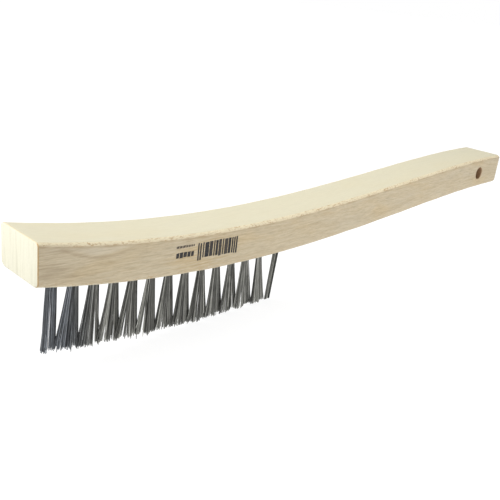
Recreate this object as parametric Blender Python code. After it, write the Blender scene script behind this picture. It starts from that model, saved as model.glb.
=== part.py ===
# Curved-handle wire scratch brush.
#
# One sawn beech block is both the brush head and the handle. Twenty-seven
# tufts of straight steel wire stand in two staggered rows under the head.
# Each tuft is a bundle of wires folded in half over a flat steel anchor and
# driven into a blind drilled hole, where the ends of the anchor bite into the
# wood on both sides of the hole.
#
# Frame: metres. +X runs from the head end to the handle end, +Z up, and the
# origin is at the bottom centre of the whole brush, level with the lowest
# wire tips. The brush stands on its wires.

import math

import bpy
import bmesh
from mathutils import Matrix, Vector

# ----------------------------------------------------------------- dimensions
LENGTH = 0.349              # head end to handle end, 13 3/4 in
WIDTH = 0.027               # board thickness that the block is sawn from
# The top edge of the block, sawn as one sweep z(u) with u = x / LENGTH:
# it dips below the head end, then climbs to the handle.
SWEEP = (-0.0671, 0.1309, -0.0467, -0.0134)
THICK_HEAD = 0.0171         # block thickness, square to the sweep, head end
THICK_HANDLE = 0.0192       # the same at the handle end
THICK_SWELL = 0.0006        # extra at mid length
TOP_EDGE_R = 0.0019         # routed radius on the two long top edges
BOTTOM_EDGE_R = 0.0026      # and on the two long bottom edges
HANDLE_END_R = 0.0026       # eased handle end
HEAD_END_R = 0.0005         # arris on the square-cut head end

HANG_HOLE_R = 0.0039        # hole through the handle for hanging, 5/16 in
HANG_HOLE_FROM_END = 0.0277

FRONT_COUNT = 14            # tufts in the front row
REAR_COUNT = 13             # tufts in the rear row, half a pitch along
TUFT_PITCH = 0.0095
FIRST_TUFT_X = 0.0109       # from the head end
ROW_Y = 0.0022              # rows at -ROW_Y and +ROW_Y
# Lean of the tufts towards the head end, at the first tuft and the last. They
# stand roughly square to the curved block, the rear row nearer the handle.
LEAN_FRONT = (math.radians(6.5), math.radians(-1.0))
LEAN_REAR = (math.radians(5.0), math.radians(-4.0))
END_TUFT_EXTRA = 0.0038     # the last front tuft stands this much further on
END_TUFT_LEAN = math.radians(5.5)   # and leans back towards the others
TRIM = 0.0302               # exposed wire length
TUFT_ROOT_R = 0.00135       # bundle radius in its hole
TIP_HALF_X = 0.0031         # half width of the fanned tips along the row
TIP_HALF_Y = 0.0019         # and across it

GAP = 0.0003                # clearance between touching pieces
HOLE_R = TUFT_ROOT_R + GAP * 1.15
HOLE_DEPTH = 0.0115         # to the shoulder of the drill point
DRILL_POINT = 0.0008
FOLD_DEPTH = 0.0112         # deepest point of the folded wires

ANCHOR_LENGTH = 0.0046      # across the row, longer than the hole is wide
ANCHOR_THICK = 0.0005
ANCHOR_HEIGHT = 0.0019
ANCHOR_DEPTH = 0.00865      # centre of the anchor below the surface

TUFT_SIDES = 10
STATION_STEP = 0.009        # spacing of the block's cross-sections

# ---------------------------------------------------------------- clean scene
for obj in list(bpy.data.objects):
    bpy.data.objects.remove(obj, do_unlink=True)


# ------------------------------------------------------------------ materials
def principled(name, colour, roughness, metallic=0.0):
    mat = bpy.data.materials.new(name)
    mat.use_nodes = True
    bsdf = mat.node_tree.nodes["Principled BSDF"]
    bsdf.inputs["Base Color"].default_value = (*colour, 1.0)
    bsdf.inputs["Roughness"].default_value = roughness
    bsdf.inputs["Metallic"].default_value = metallic
    mat.diffuse_color = (*colour, 1.0)
    return mat


BEECH = principled("beech", (0.72, 0.60, 0.42), 0.62)
WIRE = principled("wire", (0.16, 0.165, 0.17), 0.38, 0.9)
ANCHOR = principled("anchor_steel", (0.45, 0.45, 0.46), 0.4, 1.0)


# ------------------------------------------------------------- block geometry
def top_z(x):
    u = x / LENGTH
    return sum(c * u ** (i + 1) for i, c in enumerate(SWEEP))


def top_slope(x):
    u = x / LENGTH
    return sum((i + 1) * c * u ** i for i, c in enumerate(SWEEP)) / LENGTH


def thickness(x):
    u = min(max(x / LENGTH, 0.0), 1.0)
    return THICK_HEAD + (THICK_HANDLE - THICK_HEAD) * u + THICK_SWELL * 4 * u * (1 - u)


def under_z(x):
    return top_z(x) - thickness(x) * math.sqrt(1 + top_slope(x) ** 2)


def lean(span, row_position):
    """Lean of a tuft towards the head end; row_position runs 0 to 13."""
    return span[0] + (span[1] - span[0]) * row_position / (FRONT_COUNT - 1)


def tuft_places():
    """(name, x from the head end, y, lean to the head end) of every tuft."""
    for i in range(FRONT_COUNT - 1):
        yield f"front_{i + 1:02d}", FIRST_TUFT_X + TUFT_PITCH * i, -ROW_Y, lean(LEAN_FRONT, i)
    yield (f"front_{FRONT_COUNT:02d}",
           FIRST_TUFT_X + TUFT_PITCH * (FRONT_COUNT - 1) + END_TUFT_EXTRA, -ROW_Y, END_TUFT_LEAN)
    for i in range(REAR_COUNT):
        yield f"rear_{i + 1:02d}", FIRST_TUFT_X + TUFT_PITCH * (i + 0.5), ROW_Y, lean(LEAN_REAR, i + 0.5)


def tip_half(s):
    """Half widths of a tuft at distance s from the wood."""
    k = (max(s, 0.0) / TRIM) ** 1.1
    return (TUFT_ROOT_R + (TIP_HALF_X - TUFT_ROOT_R) * k,
            TUFT_ROOT_R + (TIP_HALF_Y - TUFT_ROOT_R) * k)


# The lowest wire tip sets the height of the frame's origin.
def lowest_tip():
    low = 1.0
    for _, x, _, a in tuft_places():
        half_x, _ = tip_half(TRIM)
        low = min(low, under_z(x) - TRIM * math.cos(a) - half_x * abs(math.sin(a)))
    return low


Z_UP = -lowest_tip()
X_BACK = LENGTH / 2


def place(x, y, z):
    return Vector((x - X_BACK, y, z + Z_UP))


def new_object(name, mesh, mat=None):
    obj = bpy.data.objects.new(name, mesh)
    bpy.context.scene.collection.objects.link(obj)
    if mat is not None and not mesh.materials:
        mesh.materials.append(mat)
    return obj


def cutter(name, mesh):
    obj = new_object(name, mesh)
    obj.hide_render = True
    obj.display_type = 'WIRE'
    return obj


def finish_mesh(bm, name, angle=40.0):
    bmesh.ops.recalc_face_normals(bm, faces=bm.faces)
    mesh = bpy.data.meshes.new(name)
    bm.to_mesh(mesh)
    bm.free()
    mesh.shade_smooth()
    mesh.set_sharp_from_angle(angle=math.radians(angle))
    return mesh


def add_loft(bm, rings):
    """Skin a run of equal rings and close both ends."""
    verts = [[bm.verts.new(p) for p in ring] for ring in rings]
    for a, b in zip(verts, verts[1:]):
        for i in range(len(a)):
            j = (i + 1) % len(a)
            bm.faces.new((a[i], a[j], b[j], b[i]))
    bm.faces.new(verts[0][::-1])
    bm.faces.new(verts[-1])
    return verts


# ---------------------------------------------------------------------- block
def block_section(x, inset):
    """Rounded rectangle across the block at x, drawn in by inset."""
    half = WIDTH / 2 - inset
    zt = top_z(x) - inset
    zb = under_z(x) + inset
    rt = max(TOP_EDGE_R - inset * 0.5, 0.0004)
    rb = max(BOTTOM_EDGE_R - inset * 0.5, 0.0004)
    corners = ((half - rt, zt - rt, rt, 0.0),
               (-half + rt, zt - rt, rt, 90.0),
               (-half + rb, zb + rb, rb, 180.0),
               (half - rb, zb + rb, rb, 270.0))
    ring = []
    steps = 3
    for cy, cz, r, start in corners:
        for k in range(steps + 1):
            t = math.radians(start + 90.0 * k / steps)
            ring.append(place(x, cy + r * math.cos(t), cz + r * math.sin(t)))
    return ring


def make_block():
    stations = []
    for k in range(3):                                   # head end arris
        t = math.radians(45.0 * k)
        stations.append((HEAD_END_R * (1 - math.sin(t)), HEAD_END_R * (1 - math.cos(t))))
    stations = [(x, i) for x, i in sorted(stations)]
    stations = [(s[0], HEAD_END_R * (1 - math.sin(math.acos(1 - s[0] / HEAD_END_R)))) for s in stations]
    run = LENGTH - HEAD_END_R - HANDLE_END_R
    n = round(run / STATION_STEP)
    stations += [(HEAD_END_R + run * k / n, 0.0) for k in range(1, n)]
    for k in range(5):                                   # eased handle end
        t = math.radians(90.0 * k / 4)
        stations.append((LENGTH - HANDLE_END_R + HANDLE_END_R * math.sin(t),
                         HANDLE_END_R * (1 - math.cos(t))))
    bm = bmesh.new()
    add_loft(bm, [block_section(x, inset) for x, inset in stations])
    return new_object("handle", finish_mesh(bm, "handle", 35.0), BEECH)


def tuft_matrix(x, y, a):
    """Local -Z is the tuft's axis, local X lies along the row."""
    return Matrix.Translation(place(x, y, under_z(x))) @ Matrix.Rotation(a, 4, 'Y')


def circle(radius_x, radius_y, z, sides=TUFT_SIDES):
    return [Vector((radius_x * math.cos(2 * math.pi * (i + 0.5) / sides),
                    radius_y * math.sin(2 * math.pi * (i + 0.5) / sides), z))
            for i in range(sides)]


def make_drill_cutter():
    """All the blind tuft holes, each with its drill point."""
    bm = bmesh.new()
    for _, x, y, a in tuft_places():
        m = tuft_matrix(x, y, a)
        rings = [circle(HOLE_R, HOLE_R, -0.004),
                 circle(HOLE_R, HOLE_R, HOLE_DEPTH),
                 circle(HOLE_R * 0.15, HOLE_R * 0.15, HOLE_DEPTH + DRILL_POINT)]
        add_loft(bm, [[m @ p for p in ring] for ring in rings])
    return cutter("cut_tuft_holes", finish_mesh(bm, "cut_tuft_holes"))


def add_box(bm, m, half_x, half_y, z_low, z_high):
    rings = [[m @ Vector((sx * half_x, sy * half_y, z))
              for sx, sy in ((1, 1), (-1, 1), (-1, -1), (1, -1))] for z in (z_low, z_high)]
    add_loft(bm, rings)


SLOT_HALF_X = ANCHOR_THICK / 2 + GAP
SLOT_HALF_Y = ANCHOR_LENGTH / 2 + GAP
SLOT_LOW = ANCHOR_DEPTH - ANCHOR_HEIGHT / 2 - GAP
SLOT_HIGH = ANCHOR_DEPTH + ANCHOR_HEIGHT / 2 + GAP


def make_slot_cutter():
    """The nick that each driven anchor leaves in the walls of its hole."""
    bm = bmesh.new()
    for _, x, y, a in tuft_places():
        add_box(bm, tuft_matrix(x, y, a), SLOT_HALF_X, SLOT_HALF_Y, SLOT_LOW, SLOT_HIGH)
    return cutter("cut_anchor_nicks", finish_mesh(bm, "cut_anchor_nicks"))


def make_hang_cutter():
    x = LENGTH - HANG_HOLE_FROM_END
    centre = place(x, 0.0, (top_z(x) + under_z(x)) / 2)
    bm = bmesh.new()
    sides = 32
    rings = []
    for y in (-WIDTH, WIDTH):
        rings.append([centre + Vector((HANG_HOLE_R * math.cos(2 * math.pi * i / sides), y,
                                       HANG_HOLE_R * math.sin(2 * math.pi * i / sides)))
                      for i in range(sides)])
    add_loft(bm, rings)
    return cutter("cut_hang_hole", finish_mesh(bm, "cut_hang_hole"))


def cut(obj, tool):
    mod = obj.modifiers.new(tool.name, 'BOOLEAN')
    mod.operation = 'DIFFERENCE'
    mod.solver = 'EXACT'
    mod.object = tool


# ----------------------------------------------------------- tufts and anchors
def make_tuft_mesh():
    """One bundle: folded end, straight shank in the hole, fan outside it.
    The slot through the fold is where the anchor passes."""
    bm = bmesh.new()
    r = TUFT_ROOT_R
    profile = [(FOLD_DEPTH, 0.5 * r, 0.5 * r),
               (FOLD_DEPTH - 0.0006, 0.88 * r, 0.88 * r),
               (FOLD_DEPTH - 0.0013, r, r),
               (-0.0004, r, r)]
    for s in (0.009, 0.019, TRIM):
        profile.append((-s, *tip_half(s)))
    add_loft(bm, [circle(a, b, z) for z, a, b in profile])
    body = new_object("tuft_blank", finish_mesh(bm, "tuft_blank"))
    bm = bmesh.new()
    add_box(bm, Matrix.Identity(4), SLOT_HALF_X, SLOT_HALF_Y, SLOT_LOW, SLOT_HIGH)
    slot = cutter("cut_fold_slot", finish_mesh(bm, "cut_fold_slot"))
    cut(body, slot)
    bpy.context.view_layer.update()
    depsgraph = bpy.context.evaluated_depsgraph_get()
    mesh = bpy.data.meshes.new_from_object(body.evaluated_get(depsgraph))
    mesh.name = "wire_tuft"
    mesh.materials.clear()
    mesh.materials.append(WIRE)
    bpy.data.objects.remove(body, do_unlink=True)
    bpy.data.objects.remove(slot, do_unlink=True)
    return mesh


def make_anchor_mesh():
    """A short piece of flattened wire with rolled edges."""
    bm = bmesh.new()
    hx, hz, c = ANCHOR_THICK / 2, ANCHOR_HEIGHT / 2, 0.00015
    outline = ((hx, hz - c), (hx - c, hz), (-hx + c, hz), (-hx, hz - c),
               (-hx, -hz + c), (-hx + c, -hz), (hx - c, -hz), (hx, -hz + c))
    rings = [[Vector((px, y, pz + ANCHOR_DEPTH)) for px, pz in outline]
             for y in (-ANCHOR_LENGTH / 2, ANCHOR_LENGTH / 2)]
    add_loft(bm, rings)
    mesh = finish_mesh(bm, "anchor", 30.0)
    mesh.materials.append(ANCHOR)
    return mesh


# ------------------------------------------------------------------- assembly
brush = bpy.data.objects.new("brush", None)
bpy.context.scene.collection.objects.link(brush)

block = make_block()
block.parent = brush
for tool in (make_drill_cutter(), make_slot_cutter(), make_hang_cutter()):
    tool.parent = brush
    cut(block, tool)

tuft_mesh = make_tuft_mesh()
anchor_mesh = make_anchor_mesh()
for label, x, y, a in tuft_places():
    seat = tuft_matrix(x, y, a)
    for prefix, mesh in (("wire_tuft_", tuft_mesh), ("anchor_", anchor_mesh)):
        piece = new_object(prefix + label, mesh)
        piece.parent = brush
        piece.location = seat.to_translation()
        piece.rotation_euler = seat.to_euler()

bpy.context.view_layer.update()
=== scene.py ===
import math
import random

import bpy
import bmesh
from mathutils import Matrix, Vector, noise


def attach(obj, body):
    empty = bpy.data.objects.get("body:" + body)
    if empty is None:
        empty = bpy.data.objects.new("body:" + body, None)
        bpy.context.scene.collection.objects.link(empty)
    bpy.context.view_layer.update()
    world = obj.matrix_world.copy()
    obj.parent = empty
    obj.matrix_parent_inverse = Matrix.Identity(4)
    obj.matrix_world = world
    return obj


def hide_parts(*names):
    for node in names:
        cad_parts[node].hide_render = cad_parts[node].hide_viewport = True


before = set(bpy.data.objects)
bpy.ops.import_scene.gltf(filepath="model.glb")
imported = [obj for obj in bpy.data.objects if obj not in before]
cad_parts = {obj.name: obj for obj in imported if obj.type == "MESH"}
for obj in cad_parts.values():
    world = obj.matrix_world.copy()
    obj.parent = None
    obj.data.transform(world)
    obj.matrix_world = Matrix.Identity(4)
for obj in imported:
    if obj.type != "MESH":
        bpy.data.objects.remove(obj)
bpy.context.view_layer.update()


# ------------------------------------------------------------------ dimensions
# The same design values as the CAD, in metres.
LENGTH = 0.349
WIDTH = 0.027
SWEEP = (-0.0671, 0.1309, -0.0467, -0.0134)
THICK_HEAD = 0.0171
THICK_HANDLE = 0.0192
THICK_SWELL = 0.0006
TOP_EDGE_R = 0.0019
BOTTOM_EDGE_R = 0.0026
HANDLE_END_R = 0.0026
HEAD_END_R = 0.0005
HANG_HOLE_R = 0.0039
HANG_HOLE_FROM_END = 0.0277
FRONT_COUNT = 14
REAR_COUNT = 13
TUFT_PITCH = 0.0095
FIRST_TUFT_X = 0.0109
ROW_Y = 0.0022
LEAN_FRONT = (math.radians(6.5), math.radians(-1.0))
LEAN_REAR = (math.radians(5.0), math.radians(-4.0))
END_TUFT_EXTRA = 0.0038
END_TUFT_LEAN = math.radians(5.5)
TRIM = 0.0302
TIP_HALF_X = 0.0031
HOLE_DEPTH = 0.0115
FOLD_DEPTH = 0.0110
ANCHOR_DEPTH = 0.00865
ANCHOR_HEIGHT = 0.0019

MM = 0.001
TOP_ROUND_R = 0.0026        # round-over of the long top edges
TOP_SHY = 32.0              # and the angle it leaves at the side
BOTTOM_ROUND_R = 0.0030
BOTTOM_SHY = 24.0
WIRE_R = 0.00015            # 0.30 mm hard-drawn wire
BUNDLE_R = 0.00120          # the bundle where it leaves the wood
MOUTH_R = 0.00145           # the hole around it
WIRES = 28                  # folded wires in a tuft, so 56 ends


def top_z(x):
    u = x / LENGTH
    return sum(c * u ** (i + 1) for i, c in enumerate(SWEEP))


def top_slope(x):
    u = x / LENGTH
    return sum((i + 1) * c * u ** i for i, c in enumerate(SWEEP)) / LENGTH


def thickness(x):
    u = min(max(x / LENGTH, 0.0), 1.0)
    return THICK_HEAD + (THICK_HANDLE - THICK_HEAD) * u + THICK_SWELL * 4 * u * (1 - u)


def under_z(x):
    return top_z(x) - thickness(x) * math.sqrt(1 + top_slope(x) ** 2)


def lean(span, i):
    return span[0] + (span[1] - span[0]) * i / (FRONT_COUNT - 1)


def tuft_places():
    """(name, x from the head end, y, lean of its hole) of every tuft."""
    for i in range(FRONT_COUNT - 1):
        yield f"front_{i + 1:02d}", FIRST_TUFT_X + TUFT_PITCH * i, -ROW_Y, lean(LEAN_FRONT, i)
    yield (f"front_{FRONT_COUNT:02d}",
           FIRST_TUFT_X + TUFT_PITCH * (FRONT_COUNT - 1) + END_TUFT_EXTRA, -ROW_Y, END_TUFT_LEAN)
    for i in range(REAR_COUNT):
        yield f"rear_{i + 1:02d}", FIRST_TUFT_X + TUFT_PITCH * (i + 0.5), ROW_Y, lean(LEAN_REAR, i + 0.5)


def lowest_tip():
    return min(under_z(x) - TRIM * math.cos(a) - TIP_HALF_X * abs(math.sin(a))
               for _, x, _, a in tuft_places())


Z_UP = -lowest_tip()
X_BACK = LENGTH / 2


def place(x, y, z):
    return Vector((x - X_BACK, y, z + Z_UP))


# ----------------------------------------------------------------- node helpers
class Nodes:
    """Short way to write a material's node tree."""

    def __init__(self, name):
        self.mat = bpy.data.materials.new(name)
        self.mat.use_nodes = True
        self.tree = self.mat.node_tree
        self.bsdf = self.tree.nodes["Principled BSDF"]
        self.out = self.tree.nodes["Material Output"]

    def new(self, kind, **props):
        node = self.tree.nodes.new(kind)
        for key, value in props.items():
            setattr(node, key, value)
        return node

    def link(self, a, b):
        self.tree.links.new(a, b)

    def feed(self, socket, value):
        if isinstance(value, (int, float)):
            socket.default_value = value
        elif isinstance(value, (tuple, list)):
            if len(value) == 3 and socket.type == 'RGBA':
                value = (*value, 1.0)
            socket.default_value = value
        else:
            self.link(value, socket)

    def object_mm(self):
        coord = self.new('ShaderNodeTexCoord')
        scale = self.new('ShaderNodeVectorMath', operation='SCALE')
        self.link(coord.outputs['Object'], scale.inputs[0])
        scale.inputs['Scale'].default_value = 1000.0
        return scale.outputs[0], coord.outputs['Normal']

    def split(self, vector):
        node = self.new('ShaderNodeSeparateXYZ')
        self.link(vector, node.inputs[0])
        return node.outputs

    def join(self, x, y, z):
        node = self.new('ShaderNodeCombineXYZ')
        for socket, value in zip(node.inputs, (x, y, z)):
            self.feed(socket, value)
        return node.outputs[0]

    def math(self, op, a, b=0.0, c=0.0, clamp=False):
        node = self.new('ShaderNodeMath', operation=op, use_clamp=clamp)
        for socket, value in zip(node.inputs, (a, b, c)):
            self.feed(socket, value)
        return node.outputs[0]

    def stretch(self, vector, sx, sy, sz, shift=(0.0, 0.0, 0.0)):
        node = self.new('ShaderNodeMapping')
        self.link(vector, node.inputs['Vector'])
        node.inputs['Scale'].default_value = (sx, sy, sz)
        node.inputs['Location'].default_value = shift
        return node.outputs[0]

    def noise(self, vector, scale, detail=2.0, rough=0.5, distort=0.0):
        node = self.new('ShaderNodeTexNoise')
        self.link(vector, node.inputs['Vector'])
        node.inputs['Scale'].default_value = scale
        node.inputs['Detail'].default_value = detail
        node.inputs['Roughness'].default_value = rough
        node.inputs['Distortion'].default_value = distort
        return node.outputs['Fac']

    def ramp(self, value, *stops, smooth=True):
        node = self.new('ShaderNodeValToRGB')
        if smooth:
            node.color_ramp.interpolation = 'EASE'
        self.link(value, node.inputs['Fac'])
        elements = node.color_ramp.elements
        while len(elements) > 1:
            elements.remove(elements[-1])
        for i, (at, colour) in enumerate(stops):
            if isinstance(colour, (int, float)):
                colour = (colour, colour, colour)
            e = elements[0] if i == 0 else elements.new(at)
            e.position = at
            e.color = (*colour, 1.0)
        return node.outputs['Color']

    def mask(self, value, low, high):
        node = self.new('ShaderNodeMapRange', interpolation_type='SMOOTHSTEP')
        self.feed(node.inputs['Value'], value)
        node.inputs['From Min'].default_value = low
        node.inputs['From Max'].default_value = high
        return node.outputs['Result']

    def mix(self, fac, a, b, blend='MIX'):
        node = self.new('ShaderNodeMix', data_type='RGBA', blend_type=blend)
        node.clamp_factor = True
        self.feed(node.inputs[0], fac)
        self.feed(node.inputs[6], a)
        self.feed(node.inputs[7], b)
        return node.outputs[2]

    def bump(self, height, distance, strength=1.0, normal=None):
        node = self.new('ShaderNodeBump')
        node.inputs['Strength'].default_value = strength
        node.inputs['Distance'].default_value = distance
        self.link(height, node.inputs['Height'])
        if normal is not None:
            self.link(normal, node.inputs['Normal'])
        return node.outputs['Normal']


# -------------------------------------------------------------------- materials
def make_wood():
    """Steamed pale beech, sawn and sanded. Growth rings run nearly upright
    across the end grain, so the sides are flat-sawn faces."""
    n = Nodes("beech_wood")
    p, normal = n.object_mm()
    x, y, z = n.split(p)
    nx, ny, nz = n.split(normal)
    ax = n.math('ABSOLUTE', nx)
    ay = n.math('ABSOLUTE', ny)
    az = n.math('ABSOLUTE', nz)
    end = n.mask(ax, 0.72, 0.9)
    side = n.mask(ay, 0.55, 0.9)
    head_end = n.math('MULTIPLY', end, n.mask(nx, 0.2, -0.2))

    # Depth below the sawn top of the block, in mm.
    u = n.math('DIVIDE', n.math('ADD', x, X_BACK / MM), LENGTH / MM)
    poly = SWEEP[3] / MM
    for c in (SWEEP[2], SWEEP[1], SWEEP[0]):
        poly = n.math('ADD', n.math('MULTIPLY', u, poly), c / MM)
    depth = n.math('SUBTRACT', n.math('ADD', n.math('MULTIPLY', u, poly), Z_UP / MM), z)

    # The fibres drift slowly up and down along the block.
    drift = n.noise(n.stretch(p, 0.016, 0.02, 0.05, (3.1, 0.7, 1.9)), 1.0, 2.0, 0.5)
    drift = n.math('MULTIPLY', n.math('SUBTRACT', drift, 0.5), 4.0)
    curve = n.math('MULTIPLY', n.math('ADD', z, depth), 0.35)
    zz = n.math('SUBTRACT', n.math('ADD', z, drift), curve)
    wobble = n.noise(n.stretch(p, 0.035, 0.22, 0.20, (8.2, 2.2, 5.1)), 1.0, 3.0, 0.55)
    wobble = n.math('MULTIPLY', n.math('SUBTRACT', wobble, 0.5), 2.6)

    # Growth rings, 1.25 mm apart across the block.
    r = n.math('ADD', n.math('ADD', y, n.math('MULTIPLY', zz, 0.20)), wobble)
    rings = n.math('FRACT', n.math('DIVIDE', n.math('ADD', r, 40.0), 1.25))
    late = n.math('POWER', rings, 3.0)
    late = n.math('SUBTRACT', late, n.math('MULTIPLY', n.mask(rings, 0.93, 1.0), 0.8))

    flow = n.join(x, y, zz)
    streak = n.noise(n.stretch(flow, 0.065, 1.5, 1.25), 1.0, 5.0, 0.66)
    fibre = n.noise(n.stretch(flow, 0.16, 3.4, 3.4, (1.0, 5.0, 2.0)), 1.0, 3.0, 0.6)
    flecks = n.noise(n.stretch(flow, 0.26, 2.1, 2.1, (6.0, 8.0, 3.0)), 1.0, 3.0, 0.75)
    fine = n.noise(n.stretch(flow, 0.6, 7.0, 7.0, (4.0, 1.0, 7.0)), 1.0, 2.0, 0.6)
    blotch = n.noise(n.stretch(p, 0.03, 0.08, 0.10, (2.4, 6.0, 9.0)), 1.0, 2.0, 0.5)

    # Rays show as short dark dashes on the flat-sawn sides.
    dash_cells = n.new('ShaderNodeTexVoronoi', feature='F1')
    n.link(n.stretch(flow, 0.34, 2.0, 2.0, (0.3, 0.9, 4.2)), dash_cells.inputs['Vector'])
    dash_cells.inputs['Scale'].default_value = 1.0
    dash_cells.inputs['Randomness'].default_value = 1.0
    dash = n.mask(dash_cells.outputs['Distance'], 0.24, 0.06)
    dash = n.math('MULTIPLY', dash, n.mask(n.noise(n.stretch(p, 0.15, 0.5, 0.5), 1.0), 0.42, 0.6))

    # Painted shade and highlight by face: the sides get a browner, darker colour as painted shade, and the end grain
    # a paler, less yellow one as painted highlight.
    top_colour = (0.600, 0.562, 0.420)
    side_shaded_colour = (0.535, 0.457, 0.322)
    end_lit_colour = (0.578, 0.562, 0.456)
    base = n.mix(side, top_colour, side_shaded_colour)
    base = n.mix(end, base, end_lit_colour)

    # Lengthwise figure: strong on the sides, faint on the top.
    weight = n.math('ADD', 0.28, n.math('MULTIPLY', side, 0.72))
    figure = n.ramp(streak, (0.28, (0.85, 0.82, 0.77)), (0.44, (0.95, 0.94, 0.92)),
                    (0.56, (1.0, 1.0, 1.0)), (0.72, (1.06, 1.06, 1.07)))
    along = n.mix(weight, (1.0, 1.0, 1.0), figure)
    colour = n.mix(1.0, base, along, 'MULTIPLY')
    warm = n.mix(n.math('MULTIPLY', n.mask(blotch, 0.50, 0.72), n.math('MULTIPLY', weight, 0.6)),
                 (1.0, 1.0, 1.0), (1.0, 0.93, 0.80))
    colour = n.mix(1.0, colour, warm, 'MULTIPLY')
    sx = n.math('DIVIDE', n.math('SUBTRACT', n.math('ADD', x, X_BACK / MM), 78.0), 26.0)
    sz = n.math('DIVIDE', n.math('SUBTRACT', depth, 10.0), 11.0)
    near = n.math('SQRT', n.math('ADD', n.math('MULTIPLY', sx, sx), n.math('MULTIPLY', sz, sz)))
    tan = n.math('MULTIPLY', n.mask(near, 1.0, 0.4), n.mask(streak, 0.62, 0.40))
    tan = n.math('MULTIPLY', n.math('MULTIPLY', tan, side), 0.62)
    colour = n.mix(1.0, colour, n.mix(tan, (1.0, 1.0, 1.0), (0.97, 0.87, 0.70)), 'MULTIPLY')
    grey = n.mix(n.math('MULTIPLY', n.mask(blotch, 0.48, 0.28), n.math('MULTIPLY', weight, 0.5)),
                 (1.0, 1.0, 1.0), (0.95, 0.98, 1.05))
    colour = n.mix(1.0, colour, grey, 'MULTIPLY')
    lines = n.mix(n.math('MULTIPLY', late, n.math('ADD', 0.08, n.math('MULTIPLY', side, 0.12))),
                  (1.0, 1.0, 1.0), (0.78, 0.70, 0.58))
    colour = n.mix(1.0, colour, lines, 'MULTIPLY')
    fibre_tone = n.ramp(fibre, (0.30, 0.80), (0.5, 1.0), (0.72, 1.12))
    colour = n.mix(n.math('ADD', 0.22, n.math('MULTIPLY', side, 0.6)), colour,
                   n.mix(1.0, colour, fibre_tone, 'MULTIPLY'))
    fleck_tone = n.ramp(flecks, (0.32, (0.86, 0.84, 0.81)), (0.47, (0.985, 0.98, 0.975)),
                        (0.60, (1.03, 1.03, 1.03)), (0.72, (1.08, 1.09, 1.10)))
    colour = n.mix(n.math('ADD', 0.10, n.math('MULTIPLY', side, 0.75)), colour,
                   n.mix(1.0, colour, fleck_tone, 'MULTIPLY'))
    colour = n.mix(n.math('MULTIPLY', dash, n.math('ADD', 0.08, n.math('MULTIPLY', side, 0.34))),
                   colour, (0.40, 0.29, 0.17))

    # Rounded long edges: a little fuzzy and speckled with brown. Their lighter, warmer band is painted highlight,
    # strong on the upper edges and faint on the lower ones.
    edge = n.math('MULTIPLY', n.math('MULTIPLY', ay, az), 2.0)
    edge = n.mask(edge, 0.20, 0.62)
    speck = n.noise(n.stretch(p, 0.7, 1.6, 1.6, (9.0, 3.0, 1.0)), 1.0, 3.0, 0.65)
    burnt = n.mask(n.noise(n.stretch(p, 0.10, 0.6, 0.6, (5.0, 0.0, 3.0)), 1.0, 2.0), 0.40, 0.62)
    speck_mask = n.math('MULTIPLY', n.mask(speck, 0.50, 0.60), edge)
    upper_highlight = n.mask(nz, -0.1, 0.1)
    # Painted highlight: the rounded edges turn lighter and warmer, mostly the upper ones.
    colour = n.mix(n.math('MULTIPLY', edge, n.math('ADD', 0.04, n.math('MULTIPLY', upper_highlight, 0.71))),
                   colour, (0.735, 0.645, 0.450))
    colour = n.mix(n.math('MULTIPLY', speck_mask, n.math('ADD', 0.32, n.math('MULTIPLY', burnt, 0.46))),
                   colour, (0.42, 0.27, 0.13))
    # Painted shadow: a thin dark line along the sides just under the top round-over, stronger where the burnt noise
    # is high.
    shadow_line = n.math('MULTIPLY', n.mask(depth, 0.9, 1.25), n.mask(depth, 2.3, 1.35))
    shadow_line = n.math('MULTIPLY', shadow_line, side)
    colour = n.mix(n.math('MULTIPLY', shadow_line, n.math('ADD', 0.12, n.math('MULTIPLY', burnt, 0.42))),
                   colour, (0.34, 0.24, 0.13))
    # Painted reflected light from the floor: a patchy paler band low on the sides.
    floor_bounce = n.math('MULTIPLY', n.math('MULTIPLY', n.mask(depth, 14.6, 16.4), side), n.mask(speck, 0.40, 0.60))
    colour = n.mix(n.math('MULTIPLY', floor_bounce, 0.14), colour, (0.66, 0.58, 0.41))

    # The square-cut ends: sawn arris, slightly scorched at the front corner.
    from_end = n.math('ADD', x, X_BACK / MM)
    arris = n.mask(n.math('ADD', from_end, n.math('MULTIPLY', n.noise(
        n.stretch(p, 1.0, 0.9, 0.9), 1.0, 3.0), 0.5)), 0.95, 0.45)
    arris = n.math('MULTIPLY', arris, n.mask(nx, -0.93, -0.80))
    colour = n.mix(n.math('MULTIPLY', arris, 0.38), colour, (0.62, 0.45, 0.25))
    scorch = n.math('MULTIPLY', arris, n.math('MULTIPLY', n.mask(ny, -0.30, -0.55), 0.92))
    colour = n.mix(scorch, colour, n.mix(speck, (0.30, 0.16, 0.05), (0.56, 0.38, 0.16)))
    # Painted shade: the sides darken in streaks towards the head end.
    head_side_shade = n.math('MULTIPLY', n.mask(from_end, 32.0, 4.0), n.math('MULTIPLY', side, n.mask(streak, 0.62, 0.34)))
    colour = n.mix(n.math('MULTIPLY', head_side_shade, 0.58), colour, (0.34, 0.27, 0.18))

    # Painted shade: a further smooth darkening of the sides within 15 mm of the head end.
    head_end_shade = n.math('MULTIPLY', n.mask(from_end, 15.0, 1.0), side)
    colour = n.mix(n.math('MULTIPLY', head_end_shade, 0.13), colour, (0.34, 0.27, 0.18))

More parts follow.
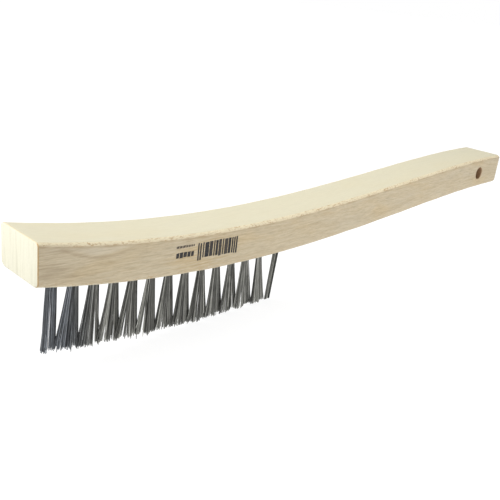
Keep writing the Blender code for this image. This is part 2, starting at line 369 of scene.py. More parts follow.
    # Where the saw crossed a rise in the rings near the head, they show as one
    # long flat arch, pale above it.
    across = n.math('SUBTRACT', from_end, 25.0)
    arch = n.math('SUBTRACT', 5.7, n.math('MULTIPLY', n.math('MULTIPLY', across, across), 0.0145))
    off = n.math('ADD', n.math('SUBTRACT', depth, arch), n.math('MULTIPLY', wobble, 0.35))
    reach = n.math('MULTIPLY', n.math('MULTIPLY', n.mask(from_end, 4.0, 12.0), n.mask(from_end, 46.0, 36.0)), side)
    line = n.math('MULTIPLY', n.mask(off, -0.75, 0.0), n.mask(off, 1.15, 0.05))
    colour = n.mix(n.math('MULTIPLY', n.math('MULTIPLY', line, reach), 0.34), colour, (0.34, 0.26, 0.17))
    pale = n.math('MULTIPLY', n.math('MULTIPLY', n.mask(off, -0.6, -1.8), n.mask(depth, 1.2, 2.4)), reach)
    colour = n.mix(n.math('MULTIPLY', pale, 0.22), colour, (0.62, 0.565, 0.46))

    # Fine saw lines and pores on the end grain.
    saw = n.noise(n.stretch(p, 1.0, 1.15, 0.05, (0.0, 4.0, 0.0)), 1.0, 2.0, 0.6)
    saw_tone = n.ramp(saw, (0.32, (0.88, 0.875, 0.85)), (0.52, 1.0), (0.7, 1.04))
    colour = n.mix(n.math('MULTIPLY', end, 0.8), colour, n.mix(1.0, colour, saw_tone, 'MULTIPLY'))
    pores = n.new('ShaderNodeTexVoronoi', feature='F1')
    n.link(n.stretch(p, 1.0, 3.2, 3.2), pores.inputs['Vector'])
    pores.inputs['Scale'].default_value = 1.0
    pore = n.math('MULTIPLY', n.mask(pores.outputs['Distance'], 0.22, 0.05), end)
    colour = n.mix(n.math('MULTIPLY', pore, 0.22), colour, (0.50, 0.42, 0.27))

    # The bored hang hole: darker where the bit burnished the wood.
    hx = (LENGTH - HANG_HOLE_FROM_END - X_BACK) / MM
    hz = ((top_z(LENGTH - HANG_HOLE_FROM_END) + under_z(LENGTH - HANG_HOLE_FROM_END)) / 2 + Z_UP) / MM
    dx = n.math('SUBTRACT', x, hx)
    dz = n.math('SUBTRACT', z, hz)
    dist = n.math('SQRT', n.math('ADD', n.math('MULTIPLY', dx, dx), n.math('MULTIPLY', dz, dz)))
    bore = n.math('MULTIPLY', n.mask(dist, 5.0, 4.4), n.mask(ay, 0.75, 0.45))
    colour = n.mix(n.math('MULTIPLY', bore, 0.92), colour,
                   n.mix(n.mask(fine, 0.35, 0.65), (0.43, 0.25, 0.125), (0.22, 0.115, 0.052)))
    halo = n.math('MULTIPLY', n.mask(dist, 5.4, 4.1), side)
    colour = n.mix(n.math('MULTIPLY', halo, 0.20), colour, (0.36, 0.24, 0.13))

    n.link(colour, n.bsdf.inputs['Base Color'])
    rough = n.math('ADD', 0.58, n.math('MULTIPLY', fibre, 0.22))
    rough = n.math('ADD', rough, n.math('MULTIPLY', end, 0.1), clamp=True)
    n.link(rough, n.bsdf.inputs['Roughness'])
    n.bsdf.inputs['Specular IOR Level'].default_value = 0.32
    height = n.math('ADD', n.math('MULTIPLY', fine, 0.45), n.math('MULTIPLY', fibre, 0.7))
    height = n.math('SUBTRACT', height, n.math('MULTIPLY', dash, 0.5))
    height = n.math('ADD', height, n.math('MULTIPLY', speck_mask, 0.8))
    height = n.math('ADD', height, n.math('MULTIPLY', n.math('MULTIPLY', saw, end), 0.8))
    n.link(n.bump(height, 0.00010, 0.55), n.bsdf.inputs['Normal'])
    return n.mat


def make_wire():
    """Drawn high-carbon steel wire: dark grey, drawn lines along it."""
    n = Nodes("drawn_steel_wire")
    tone = n.new('ShaderNodeAttribute', attribute_name="tone").outputs['Fac']
    p, _ = n.object_mm()
    drawn = n.noise(n.stretch(p, 9.0, 9.0, 0.35), 1.0, 3.0, 0.6)
    soot = n.noise(n.stretch(p, 0.35, 0.35, 0.16, (4.0, 4.0, 4.0)), 1.0, 2.0, 0.5)
    x, _, z = n.split(p)
    blue = n.mask(x, -140.0, -158.0)
    base = n.mix(blue, (0.255, 0.255, 0.235), (0.160, 0.171, 0.187))
    # The tone attribute holds random tone plus painted shading across each tuft: darker at the fan's edges, lighter
    # in its middle.
    colour = n.mix(1.0, base, n.ramp(tone, (0.0, 0.09), (0.5, 0.84), (1.0, 2.4), smooth=False), 'MULTIPLY')
    colour = n.mix(1.0, colour, n.ramp(drawn, (0.3, 0.80), (0.7, 1.2)), 'MULTIPLY')
    colour = n.mix(n.math('MULTIPLY', n.mask(soot, 0.5, 0.72), 0.35), colour, (0.055, 0.050, 0.045))
    n.link(colour, n.bsdf.inputs['Base Color'])
    n.bsdf.inputs['Metallic'].default_value = 0.75
    rough = n.math('ADD', 0.36, n.math('MULTIPLY', drawn, 0.25))
    n.link(rough, n.bsdf.inputs['Roughness'])
    n.link(n.bump(drawn, 0.00003, 0.5), n.bsdf.inputs['Normal'])
    return n.mat


def make_anchor_steel():
    n = Nodes("anchor_steel_rolled")
    p, _ = n.object_mm()
    rolled = n.noise(n.stretch(p, 8.0, 0.6, 8.0), 1.0, 3.0, 0.6)
    stain = n.noise(n.stretch(p, 1.2, 1.2, 1.2, (7.0, 2.0, 1.0)), 1.0, 3.0, 0.6)
    colour = n.mix(rolled, (0.36, 0.36, 0.365), (0.52, 0.52, 0.53))
    colour = n.mix(n.math('MULTIPLY', n.mask(stain, 0.55, 0.75), 0.4), colour, (0.16, 0.13, 0.11))
    n.link(colour, n.bsdf.inputs['Base Color'])
    n.bsdf.inputs['Metallic'].default_value = 1.0
    n.link(n.math('ADD', 0.28, n.math('MULTIPLY', rolled, 0.25)), n.bsdf.inputs['Roughness'])
    n.link(n.bump(rolled, 0.00003, 0.6), n.bsdf.inputs['Normal'])
    return n.mat


def make_ink():
    """Black stamp ink soaked into the wood, thin in places."""
    n = Nodes("stamp_ink")
    p, _ = n.object_mm()
    patchy = n.noise(n.stretch(p, 0.8, 1.0, 2.2), 1.0, 4.0, 0.7)
    grain = n.noise(n.stretch(p, 0.25, 4.0, 4.0, (2.0, 3.0, 4.0)), 1.0, 2.0, 0.6)
    tone = n.new('ShaderNodeAttribute', attribute_name="tone").outputs['Fac']
    cover = n.math('ADD', n.mask(patchy, 0.48, 0.72), n.math('MULTIPLY', n.mask(grain, 0.55, 0.7), 0.35), clamp=True)
    cover = n.math('MULTIPLY', cover, 0.24)
    cover = n.math('ADD', cover, n.math('MULTIPLY', tone, 0.6), clamp=True)
    colour = n.mix(cover, (0.026, 0.026, 0.028), (0.24, 0.195, 0.14))
    n.link(colour, n.bsdf.inputs['Base Color'])
    n.bsdf.inputs['Roughness'].default_value = 0.75
    n.bsdf.inputs['Specular IOR Level'].default_value = 0.25
    n.link(n.bump(grain, 0.00005, 0.4), n.bsdf.inputs['Normal'])
    return n.mat


def make_floor():
    """A pale light table, lit from below so that shadows stay faint."""
    n = Nodes("studio_floor")
    p, _ = n.object_mm()
    speck = n.noise(n.stretch(p, 0.01, 0.01, 0.01), 1.0, 2.0)
    n.link(n.mix(speck, (0.145, 0.145, 0.145), (0.155, 0.155, 0.155)), n.bsdf.inputs['Base Color'])
    n.bsdf.inputs['Emission Color'].default_value = (1.0, 1.0, 1.0, 1.0)
    n.bsdf.inputs['Emission Strength'].default_value = 0.90
    n.bsdf.inputs['Roughness'].default_value = 0.9
    n.bsdf.inputs['Specular IOR Level'].default_value = 0.1
    return n.mat


WOOD = make_wood()
STEEL = make_wire()
ANCHOR_STEEL = make_anchor_steel()
INK = make_ink()


# ----------------------------------------------------------------- mesh helpers
def link_mesh(name, mesh, mat=None):
    obj = bpy.data.objects.new(name, mesh)
    bpy.context.scene.collection.objects.link(obj)
    if mat is not None:
        mesh.materials.clear()
        mesh.materials.append(mat)
    return obj


def loft(rings, closed=True):
    verts = [p for ring in rings for p in ring]
    count = len(rings[0])
    faces = []
    for k in range(len(rings) - 1):
        a, b = k * count, (k + 1) * count
        for i in range(count):
            j = (i + 1) % count
            faces.append((a + i, a + j, b + j, b + i))
    if closed:
        faces.append(tuple(range(count - 1, -1, -1)))
        last = (len(rings) - 1) * count
        faces.append(tuple(range(last, last + count)))
    return verts, faces


def mesh_from(name, verts, faces, angle=35.0):
    mesh = bpy.data.meshes.new(name)
    mesh.from_pydata([tuple(v) for v in verts], [], faces)
    bm = bmesh.new()
    bm.from_mesh(mesh)
    bmesh.ops.recalc_face_normals(bm, faces=bm.faces)
    bm.to_mesh(mesh)
    bm.free()
    mesh.shade_smooth()
    mesh.set_sharp_from_angle(angle=math.radians(angle))
    return mesh


# ------------------------------------------------------------------------ block
def edge_radius(base, x, side, seed):
    """Machine-rounded edge, then sanded by hand: its radius wanders a little."""
    w = noise.noise(Vector((x * 90.0, side * 7.3, seed)))
    w += 0.5 * noise.noise(Vector((x * 330.0, side * 3.1, seed + 5.0)))
    return base * (1.0 + 0.13 * w)


def block_stations():
    out = []
    for k in range(5):
        t = math.radians(90.0 * k / 4)
        out.append((HEAD_END_R * (1 - math.cos(t)), HEAD_END_R * (1 - math.sin(t))))
    run = LENGTH - HEAD_END_R - HANDLE_END_R
    n = round(run / 0.0018)
    out += [(HEAD_END_R + run * k / n, 0.0) for k in range(1, n)]
    for k in range(9):
        t = math.radians(90.0 * k / 8)
        out.append((LENGTH - HANDLE_END_R + HANDLE_END_R * math.sin(t),
                    HANDLE_END_R * (1 - math.cos(t))))
    return out


def fixed_ring(x, inset, sides_y=9, sides_z=5, steps=7):
    half = WIDTH / 2 - inset
    zt = top_z(x) - inset
    zb = under_z(x) + inset
    arcs = []
    # The round-over runs out on the side at SHY degrees, so it meets the
    # side in a crisp line, and runs into the top and the underside smoothly.
    for sy, sz in ((1, 1), (-1, 1), (-1, -1), (1, -1)):
        base, shy = (TOP_ROUND_R, TOP_SHY) if sz > 0 else (BOTTOM_ROUND_R, BOTTOM_SHY)
        r = max(edge_radius(base, x, sy, 11.0 if sz > 0 else 23.0) - inset * 0.5, 0.0004)
        cy = half - r * math.cos(math.radians(shy))
        arc = []
        for k in range(steps + 1):
            t = math.radians(shy + (90.0 - shy) * k / steps)
            arc.append(Vector((sy * (cy + r * math.cos(t)),
                               zt - r + r * math.sin(t) if sz > 0 else zb + r - r * math.sin(t))))
        arcs.append(arc if sy * sz > 0 else arc[::-1])
    ring = []
    for i, arc in enumerate(arcs):
        ring += arc
        nxt = arcs[(i + 1) % 4][0]
        parts = sides_y if i % 2 == 0 else sides_z
        for k in range(1, parts):
            ring.append(arc[-1].lerp(nxt, k / parts))
    return [place(x, p[0], p[1]) for p in ring]


def cylinder(profile, centre, u, v, w, sides):
    """Rings of (distance along w, radius) about an axis."""
    rings = []
    for d, r in profile:
        rings.append([centre + w * d + u * (r * math.cos(2 * math.pi * i / sides))
                      + v * (r * math.sin(2 * math.pi * i / sides)) for i in range(sides)])
    return loft(rings)


def tuft_matrix(x, y, ax, ay):
    """Local -Z runs down the tuft; ax leans it to the head end, ay to the front."""
    return (Matrix.Translation(place(x, y, under_z(x)))
            @ Matrix.Rotation(ax, 4, 'Y') @ Matrix.Rotation(-ay, 4, 'X'))


# Each tuft: lean to the head end and to the front in degrees, half width of its
# fan in mm, and the clumps its wires have gathered into as (centre across the
# fan, width, drop in mm) with centre and width as shares of the half width.
FRONT = (
    (3.9, 1.0, 1.00, ((0.0, 1.0, 0.3),)),
    (7.5, -1.0, 2.30, ((-0.50, 0.54, 0.1), (0.50, 0.54, 0.3))),
    (7.0, 0.5, 2.35, ((-0.46, 0.62, 0.2), (0.50, 0.58, 0.4))),
    (6.5, 0.0, 2.50, ((-0.56, 0.48, 0.0), (0.54, 0.48, 0.3))),
    (7.0, 0.0, 2.95, ((-0.54, 0.47, 0.2), (0.55, 0.45, 0.2))),
    (4.0, -0.5, 2.80, ((-0.60, 0.42, 0.2), (0.48, 0.52, 0.2))),
    (3.0, -1.5, 2.65, ((-0.38, 0.64, 0.0), (0.64, 0.40, 0.3))),
    (2.5, -0.5, 2.75, ((-0.30, 0.70, 0.0), (0.66, 0.38, 0.1))),
    (2.5, 0.5, 2.90, ((-0.52, 0.50, 0.0), (0.38, 0.64, 0.2))),
    (1.0, 0.0, 2.55, ((-0.45, 0.54, 0.0), (0.55, 0.48, 0.0))),
    (0.6, 0.0, 2.60, ((-0.45, 0.56, 0.1), (0.55, 0.48, -0.1))),
    (1.0, 0.5, 2.40, ((-0.35, 0.66, 0.2), (0.70, 0.32, -0.3))),
    (-2.6, 1.0, 2.40, ((-0.55, 0.48, 0.2), (0.45, 0.56, 0.0))),
    (5.4, 0.5, 1.50, ((0.0, 1.0, 0.9),)),
)
REAR = (
    (4.1, 5.0, 1.10, ((0.0, 1.0, 0.9),)),
    (7.0, 6.5, 2.40, ((-0.40, 0.62, 1.4), (0.66, 0.36, 0.0))),
    (6.0, 6.5, 2.15, ((-0.40, 0.58, 1.1), (0.62, 0.40, 0.9))),
    (3.0, 5.0, 2.05, ((-0.60, 0.40, 0.6), (0.46, 0.54, 0.9))),
    (2.5, 6.0, 1.55, ((0.0, 1.0, 1.1),)),
    (0.5, 5.5, 1.70, ((-0.20, 0.80, 0.9),)),
    (0.5, 5.0, 1.70, ((-0.46, 0.50, 0.5), (0.50, 0.52, 1.1))),
    (0.0, 5.5, 1.60, ((0.0, 1.0, 0.9),)),
    (-1.5, 6.0, 1.55, ((0.1, 0.9, 1.2),)),
    (-3.5, 4.5, 1.65, ((-0.3, 0.66, 0.9), (0.64, 0.38, 0.3))),
    (-3.5, 5.0, 1.85, ((-0.50, 0.50, 0.9), (0.52, 0.48, 0.6))),
    (-4.5, 6.0, 1.80, ((-0.25, 0.72, 1.0), (0.68, 0.34, 0.4))),
    (-3.0, 6.5, 1.90, ((-0.48, 0.52, 1.2), (0.52, 0.48, 0.5))),
)
# Wires that have sprung out of their tuft: how many, and how far out their tips are
STRAY = {"front_03": (3, Vector((0.0040, -0.0012, 0.0)))}


def tuft_table():
    """(name, x, y, lean of its hole, row of the tables above) of every tuft."""
    for (label, x, y, a), row in zip(tuft_places(), FRONT + REAR):
        yield label, x, y, a, row


def make_block():
    verts, faces = loft([fixed_ring(x, inset) for x, inset in block_stations()])
    block = link_mesh("beech_block", mesh_from("beech_block", verts, faces), WOOD)

    tool_verts, tool_faces = [], []

    def add(part):
        base = len(tool_verts)
        tool_verts.extend(part[0])
        tool_faces.extend([tuple(base + i for i in f) for f in part[1]])

    for label, x, y, a, _ in tuft_table():
        m = tuft_matrix(x, y, a, 0.0)
        u, v, w = (m.to_3x3() @ Vector(a) for a in ((1, 0, 0), (0, 1, 0), (0, 0, 1)))
        add(cylinder([(-0.004, MOUTH_R * 1.10), (-0.0001, MOUTH_R * 1.10), (0.0003, MOUTH_R),
                      (HOLE_DEPTH, MOUTH_R), (HOLE_DEPTH + 0.0008, MOUTH_R * 0.15)],
                     m.to_translation(), u, v, w, 24))
    x = LENGTH - HANG_HOLE_FROM_END
    centre = place(x, 0.0, (top_z(x) + under_z(x)) / 2)
    half = WIDTH / 2
    add(cylinder([(-half - 0.002, HANG_HOLE_R + 0.0022), (-half, HANG_HOLE_R + 0.0002),
                  (-half + 0.0003, HANG_HOLE_R), (half - 0.0003, HANG_HOLE_R),
                  (half, HANG_HOLE_R + 0.0002), (half + 0.002, HANG_HOLE_R + 0.0022)],
                 centre, Vector((1, 0, 0)), Vector((0, 0, 1)), Vector((0, 1, 0)), 48))
    tool = link_mesh("block_cutter", mesh_from("block_cutter", tool_verts, tool_faces))
    mod = block.modifiers.new("bores", 'BOOLEAN')
    mod.operation = 'DIFFERENCE'
    mod.solver = 'EXACT'
    mod.object = tool
    bpy.context.view_layer.update()
    graph = bpy.context.evaluated_depsgraph_get()
    mesh = bpy.data.meshes.new_from_object(block.evaluated_get(graph))
    block.modifiers.clear()
    block.data = mesh
    mesh.name = "beech_block"
    mesh.materials.clear()
    mesh.materials.append(WOOD)
    bpy.data.objects.remove(tool, do_unlink=True)
    mesh.shade_smooth()
    mesh.set_sharp_from_angle(angle=math.radians(32.0))
    return block


# ------------------------------------------------------------------------ tufts
def disc_points(count, rng, radius, clear):
    """Evenly spread points in a disc (sunflower layout), jittered, |x| > clear."""
    points = []
    for i in range(count):
        r = radius * math.sqrt((i + 0.5) / count)
        t = i * 2.399963 + rng.uniform(-0.10, 0.10)
        points.append([r * math.cos(t), r * math.sin(t)])
    if clear:
        for p in points:
            side = 1 if p[0] >= 0 else -1
            p[0] = side * (clear + abs(p[0]) * (1 - clear / radius))
    return points


def tube(points, radius, sides, cap=True):
    """A tube along points, with a steady frame."""
    rings = []
    ref = Vector((0.0, 1.0, 0.0))
    for k, p in enumerate(points):
        a = points[max(k - 1, 0)]
        b = points[min(k + 1, len(points) - 1)]
        t = (b - a).normalized()
        if abs(t.dot(ref)) > 0.95:
            ref = Vector((1.0, 0.0, 0.0))
        n1 = (ref - t * ref.dot(t)).normalized()
        n2 = t.cross(n1)
        rings.append([p + n1 * (radius * math.cos(2 * math.pi * i / sides))
                      + n2 * (radius * math.sin(2 * math.pi * i / sides)) for i in range(sides)])
        ref = n1
    return loft(rings, cap)


# The tufts fan out along their row, a little to the front; each gathers into
# clumps along that line, and each clump into pointed locks of a few wires.
FAN = math.radians(7.0)
ACROSS = Vector((math.cos(FAN), -math.sin(FAN), 0.0))
SPLIT = Vector((0.707, -0.707, 0.0))        # clumps part along this line
ASIDE = Vector((0.707, 0.707, 0.0))
FAN_WIDER = 1.27


def make_tuft(label, x, y, hole_lean, row, rng):
    ax, ay, half, clumps = row
    m = tuft_matrix(x, y, math.radians(ax), math.radians(ay))
    hole = tuft_matrix(x, y, hole_lean, 0.0)
    count = WIRES * 2
    bundle = BUNDLE_R * (1.30 if hole_lean == END_TUFT_LEAN else 1.0)
    surface = disc_points(count, rng, bundle - WIRE_R, 0.0)
    deep = disc_points(count, rng, BUNDLE_R - WIRE_R * 0.5, 0.00042)
    order = sorted(range(count), key=lambda k: surface[k][0])
    deep_order = sorted(range(count), key=lambda k: deep[k][0])
    pair = {a: b for a, b in zip(order, deep_order)}

    # share the wires out to the clumps by their place across the bundle
    rank = sorted(range(count), key=lambda k: surface[k][0] * SPLIT.x + surface[k][1] * SPLIT.y
                  + rng.uniform(-0.00025, 0.00025))
    weights = [max(c[1], 0.2) for c in clumps]
    total = sum(weights)
    cuts, acc = [], 0.0
    for wgt in weights:
        acc += wgt / total
        cuts.append(acc)
    tips, shade_and_tone_of = {}, {}
    half_m = half * MM * FAN_WIDER
    trim_slope = math.tan(math.radians(ax)) + top_slope(x)
    lock_of, lock, left_in_lock = [], 0, 0
    for _ in range(count):
        if left_in_lock == 0:
            lock += 1
            left_in_lock = rng.choice((4, 5, 6, 8))
        lock_of.append(lock)
        left_in_lock -= 1
    lock_mid = {q: sum(j for j, o in enumerate(lock_of) if o == q) / lock_of.count(q) for q in set(lock_of)}
    lock_drop = {q: rng.gauss(0, 0.00050) for q in sorted(set(lock_of))}
    lock_tone = {q: rng.gauss(0, 0.12) for q in sorted(set(lock_of))}
    for order_index, k in enumerate(rank):
        share = (order_index + 0.5) / count
        c = next((j for j, cut in enumerate(cuts) if share <= cut + 1e-9), len(clumps) - 1)
        centre, width, drop = clumps[c]
        low = cuts[c - 1] if c else 0.0
        mid = (lock_mid[lock_of[order_index]] + 0.5) / count
        in_lock = (share - mid) * count / 4.0
        local = (share - low) / max(cuts[c] - low, 1e-6) * 2 - 1
        to = (mid - low) / max(cuts[c] - low, 1e-6) * 2 - 1
        local = to + (local - to) * 0.62
        along = (centre * 1.05 + width * local * 0.89) * half_m
        off = (surface[k][0] * ASIDE.x + surface[k][1] * ASIDE.y) / BUNDLE_R
        other = off * half_m * 0.34 + rng.gauss(0, 0.00014)
        along += rng.gauss(0, 0.00008)
        tip = ACROSS * along + ASIDE * other
        length = TRIM + (drop * MM if drop < 0 else drop * MM * 0.8) - tip.x * trim_slope
        length += lock_drop[lock_of[order_index]] + rng.gauss(0, 0.00030) - 0.0007 * in_lock * in_lock
        if rng.random() < 0.16:
            length -= rng.uniform(0.0006, 0.0030)
        elif rng.random() < 0.08:
            length += rng.uniform(0.0004, 0.0010)
        if rng.random() < 0.10:
            tip += Vector((rng.gauss(0, 0.0007), rng.gauss(0, 0.0006), 0.0))
        if label in STRAY and order_index >= count - STRAY[label][0]:
            tip = ACROSS * (half_m * 1.02) + STRAY[label][1] + Vector((rng.gauss(0, 0.00012), 0.0, 0.0))
            length = TRIM * 0.96
        low = (m @ Vector((tip.x, tip.y, -length))).z
        if low < 0.0001:
            length += low - 0.0001
        tips[k] = (tip, length)
        # Painted shading: wires at the middle of the fan get a lighter tone, those towards its edges a darker one,
        # darkest on the right side; the per-lock and per-wire parts are random tone.
        c = 2 * share - 1
        shade_and_tone_of[k] = (0.30 + 0.26 * (1 - c * c) - 0.10 * max(c, 0.0)
                      + lock_tone[lock_of[order_index]] + rng.gauss(0, 0.17))

    verts, faces, tones = [], [], []
    legs = []
    for k in range(count):
        sx, sy = surface[k]
        tip, length = tips[k]
        start = Vector((sx, sy, 0.0))
        bend = rng.uniform(1.2, 1.65)
        if label in STRAY and k in rank[-STRAY[label][0]:]:
            bend = 1.0
        sway = Vector((rng.gauss(0, 0.00012), rng.gauss(0, 0.00012), 0.0))
        out = []
        for s in (0.0012, 0.0045, 0.0095, 0.0150, 0.0210, 0.0262, length):
            q = s / length
            flat = start.lerp(Vector((tip.x, tip.y, 0.0)), q ** bend)
            flat += sway * math.sin(math.pi * q)
            out.append(m @ Vector((flat.x, flat.y, -s * (1 - 0.012 * q))))
        dx, dy = deep[pair[k]]
        inside = [hole @ Vector((sx, sy, 0.0009)),
                  hole @ Vector(((sx + dx) / 2, (sy + dy) / 2, 0.0042)),
                  hole @ Vector((dx, dy, 0.0066)),
                  hole @ Vector((dx, dy, ANCHOR_DEPTH + ANCHOR_HEIGHT / 2 + 0.0002))]
        legs.append((k, out, inside, dx, dy))

    # join legs on opposite sides of the anchor into folded wires
    left = sorted((g for g in legs if g[3] < 0), key=lambda g: (g[4], g[3]))
    right = sorted((g for g in legs if g[3] >= 0), key=lambda g: (g[4], g[3]))
    while len(left) > len(right):
        right.append(left.pop())
    while len(right) > len(left):
        left.append(right.pop())
    left.sort(key=lambda g: g[4])
    right.sort(key=lambda g: g[4])
    for a, b in zip(left, right):
        fold_z = FOLD_DEPTH - rng.uniform(0.0, 0.0004)
        mid = [hole @ Vector((a[3] * 0.75, a[4] * 0.7 + b[4] * 0.3, fold_z - 0.00012)),
               hole @ Vector(((a[3] + b[3]) / 2, (a[4] + b[4]) / 2, fold_z)),
               hole @ Vector((b[3] * 0.75, a[4] * 0.3 + b[4] * 0.7, fold_z - 0.00012))]
        points = a[1][::-1] + a[2] + mid + b[2][::-1] + b[1]
        tv, tf = tube(points, WIRE_R, 6)
        base = len(verts)
        verts += tv
        faces += [tuple(base + q for q in f) for f in tf]
        ta = min(max(shade_and_tone_of[a[0]], 0.0), 1.0)
        tb = min(max(shade_and_tone_of[b[0]], 0.0), 1.0)
        rings = len(points)
        for ring in range(rings):
            t = ta if ring < rings / 2 else tb
            tones += [t] * 6
    name = "wires_" + label
    mesh = mesh_from(name, verts, faces, 50.0)
    attr = mesh.attributes.new("tone", 'FLOAT', 'POINT')
    attr.data.foreach_set("value", tones)
    return link_mesh(name, mesh, STEEL)


# ------------------------------------------------------------------------ stamp
# Made-up bars, (width, gap) in rough millimetres; they carry no number.
BARS = ((0.80, 0.40), (0.80, 0.62), (0.72, 0.50), (2.10, 0.30), (1.75, 0.50), (0.75, 0.40),
        (1.25, 0.36), (1.55, 0.48), (0.75, 0.45), (1.90, 0.30), (1.40, 0.48), (0.80, 0.40),
        (0.80, 0.40), (0.85, 0.0))


def make_stamp(rng):
    """A plain inked block of bars and two rows of short dashes, no lettering."""
    verts, faces, tones = [], [], []
    front = -WIDTH / 2 - 0.00003
    back = -WIDTH / 2 + 0.00008

    def bar(x0, x1, zt, zb, tilt, tone):
        left, right = [], []
        steps = 9
        for k in range(steps + 1):
            q = k / steps
            z = zt + (zb - zt) * q
            shift = -tilt * q
            j = 0.00005
            left.append((x0 + shift + rng.uniform(-j, j), z + (rng.uniform(-j, j) * 3 if k in (0, steps) else 0)))
            right.append((x1 + shift + rng.uniform(-j, j), z + (rng.uniform(-j, j) * 3 if k in (0, steps) else 0)))
        base = len(verts)
        for yy in (front, back):
            for a, b in zip(left, right):
                verts.append(place(a[0], yy, a[1]))
                verts.append(place(b[0], yy, b[1]))
                tones.extend((tone, tone))
        row = 2 * (steps + 1)
        for k in range(steps):
            i = base + 2 * k
            faces.append((i, i + 1, i + 3, i + 2))
            faces.append((i + row, i + row + 2, i + row + 3, i + row + 1))
            faces.append((i, i + 2, i + row + 2, i + row))
            faces.append((i + 1, i + row + 1, i + row + 3, i + 3))
        last = base + 2 * steps
        faces.append((base, base + row, base + row + 1, base + 1))
        faces.append((last, last + 1, last + row + 1, last + row))

    x0, x1 = 0.0741, 0.0976
    unit = (x1 - x0) / sum(w + g for w, g in BARS)
    x = x0
    for number, (width, gap) in enumerate(BARS):
        q = (x - x0) / (x1 - x0)
        zt = -0.01300 - 0.00063 * q + rng.uniform(-0.00006, 0.00006)
        zb = -0.01985 - 0.00120 * q + rng.uniform(-0.0001, 0.0001)
        if number < 2:
            zb -= 0.0010
        elif number == 7 or number > len(BARS) - 3:
            zb -= 0.0004
        tone = min(max(rng.gauss(0.06, 0.10), 0.0), 0.4) + (0.14 if width < 0.78 else 0.0)
        bar(x, x + width * unit, zt, zb, 0.00002, tone)
        x += (width + gap) * unit

    for row, (x0, x1, zc0, zc1, h) in enumerate(((0.0623, 0.0722, -0.01290, -0.01335, 0.00048),
                                                 (0.0624, 0.0722, -0.01665, -0.01705, 0.00115))):
        x = x0
        while x < x1 - 0.0006:
            width = rng.uniform(0.0009, 0.0017) if row == 0 else rng.uniform(0.0015, 0.0019)
            width = min(width, x1 - x)
            q = (x - x0) / (x1 - x0)
            zc = zc0 + (zc1 - zc0) * q
            bar(x, x + width, zc + h, zc - h, 0.0001, 0.55 if row == 0 else 0.05)
            x += width + (0.00030 if row == 0 else 0.00034)
    mesh = mesh_from("stamp_marks", verts, faces, 40.0)
    attr = mesh.attributes.new("tone", 'FLOAT', 'POINT')
    attr.data.foreach_set("value", tones)
    return link_mesh("stamp_marks", mesh, INK)


# --------------------------------------------------------------------- assembly
block = make_block()
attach(block, "root")
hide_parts("handle")

stamp = make_stamp(random.Random(4117))
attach(stamp, "root")

for number, (label, x, y, hole_lean, row) in enumerate(tuft_table()):
    tuft = make_tuft(label, x, y, hole_lean, row, random.Random(9100 + number * 7))
    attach(tuft, "root")
    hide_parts("wire_tuft_" + label)

for name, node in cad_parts.items():
    if name.startswith("anchor_"):
        node.data.materials.clear()
        node.data.materials.append(ANCHOR_STEEL)

# ------------------------------------------------------------ floor and lights
bm = bmesh.new()
bmesh.ops.create_grid(bm, x_segments=8, y_segments=8, size=60.0)
floor_mesh = bpy.data.meshes.new("floor")
bm.to_mesh(floor_mesh)
bm.free()
floor = link_mesh("floor", floor_mesh, make_floor())
floor.location = (0.0, 0.0, -0.0002)

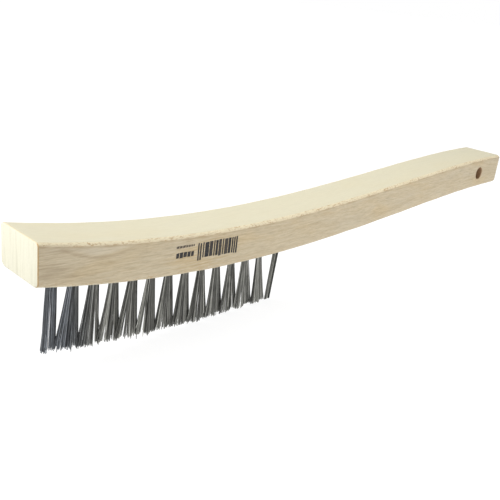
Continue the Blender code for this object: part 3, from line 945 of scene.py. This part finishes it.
world = bpy.data.worlds.new("studio")
bpy.context.scene.world = world
world.use_nodes = True
tree = world.node_tree
background = tree.nodes["Background"]
coord = tree.nodes.new('ShaderNodeTexCoord')
parts = tree.nodes.new('ShaderNodeSeparateXYZ')
tree.links.new(coord.outputs['Generated'], parts.inputs[0])
ramp = tree.nodes.new('ShaderNodeValToRGB')
tree.links.new(parts.outputs['Z'], ramp.inputs['Fac'])
ramp.color_ramp.elements[0].position = 0.31
ramp.color_ramp.elements[0].color = (1.0, 1.0, 1.0, 1.0)
ramp.color_ramp.elements[1].position = 0.42
ramp.color_ramp.elements[1].color = (0.15, 0.15, 0.15, 1.0)
tree.links.new(ramp.outputs['Color'], background.inputs['Color'])
background.inputs['Strength'].default_value = 1.0


def aim(obj, direction):
    """Point a light or camera's -Z along direction."""
    obj.rotation_mode = 'QUATERNION'
    obj.rotation_quaternion = Vector(direction).to_track_quat('-Z', 'Y')


def sun(name, direction, strength, angle, colour=(1.0, 1.0, 1.0)):
    data = bpy.data.lights.new(name, 'SUN')
    data.energy = strength
    data.angle = math.radians(angle)
    data.color = colour
    obj = bpy.data.objects.new(name, data)
    bpy.context.scene.collection.objects.link(obj)
    aim(obj, direction)
    return obj


def softbox(name, at, target, width, height, power, colour=(1.0, 1.0, 1.0)):
    data = bpy.data.lights.new(name, 'AREA')
    data.shape = 'RECTANGLE'
    data.size = width
    data.size_y = height
    data.energy = power
    data.color = colour
    obj = bpy.data.objects.new(name, data)
    bpy.context.scene.collection.objects.link(obj)
    obj.location = at
    aim(obj, Vector(target) - Vector(at))
    return obj


sun("key", (0.80, -0.48, -1.0), 3.30, 70.0)
softbox("fill_side", (0.06, -0.34, 0.12), (0.03, 0.0, 0.045), 0.25, 0.20, 0.40)
softbox("head_top", (-0.40, 0.16, 0.42), (-0.14, 0.0, 0.05), 0.30, 0.30, 1.42)

# ----------------------------------------------------------------------- camera
camera_data = bpy.data.cameras.new("camera")
camera_data.sensor_width = 36.0
camera_data.lens = 49.378
camera_data.clip_start = 0.01
camera_data.clip_end = 200.0
camera = bpy.data.objects.new("camera", camera_data)
bpy.context.scene.collection.objects.link(camera)
forward = Vector((0.68978759, 0.63631646, -0.34539027))
right = Vector((0.70334821, -0.70209420, 0.11119818))
up = Vector((0.17173927, 0.31963275, 0.93184791))
camera.matrix_world = Matrix((
    (right.x, up.x, -forward.x, -0.11083120 - X_BACK),
    (right.y, up.y, -forward.y, -0.21394005),
    (right.z, up.z, -forward.z, 0.08686621 + Z_UP),
    (0.0, 0.0, 0.0, 1.0)))
bpy.context.scene.camera = camera
bpy.context.scene.view_settings.view_transform = 'Standard'
bpy.context.scene.view_settings.look = 'None'
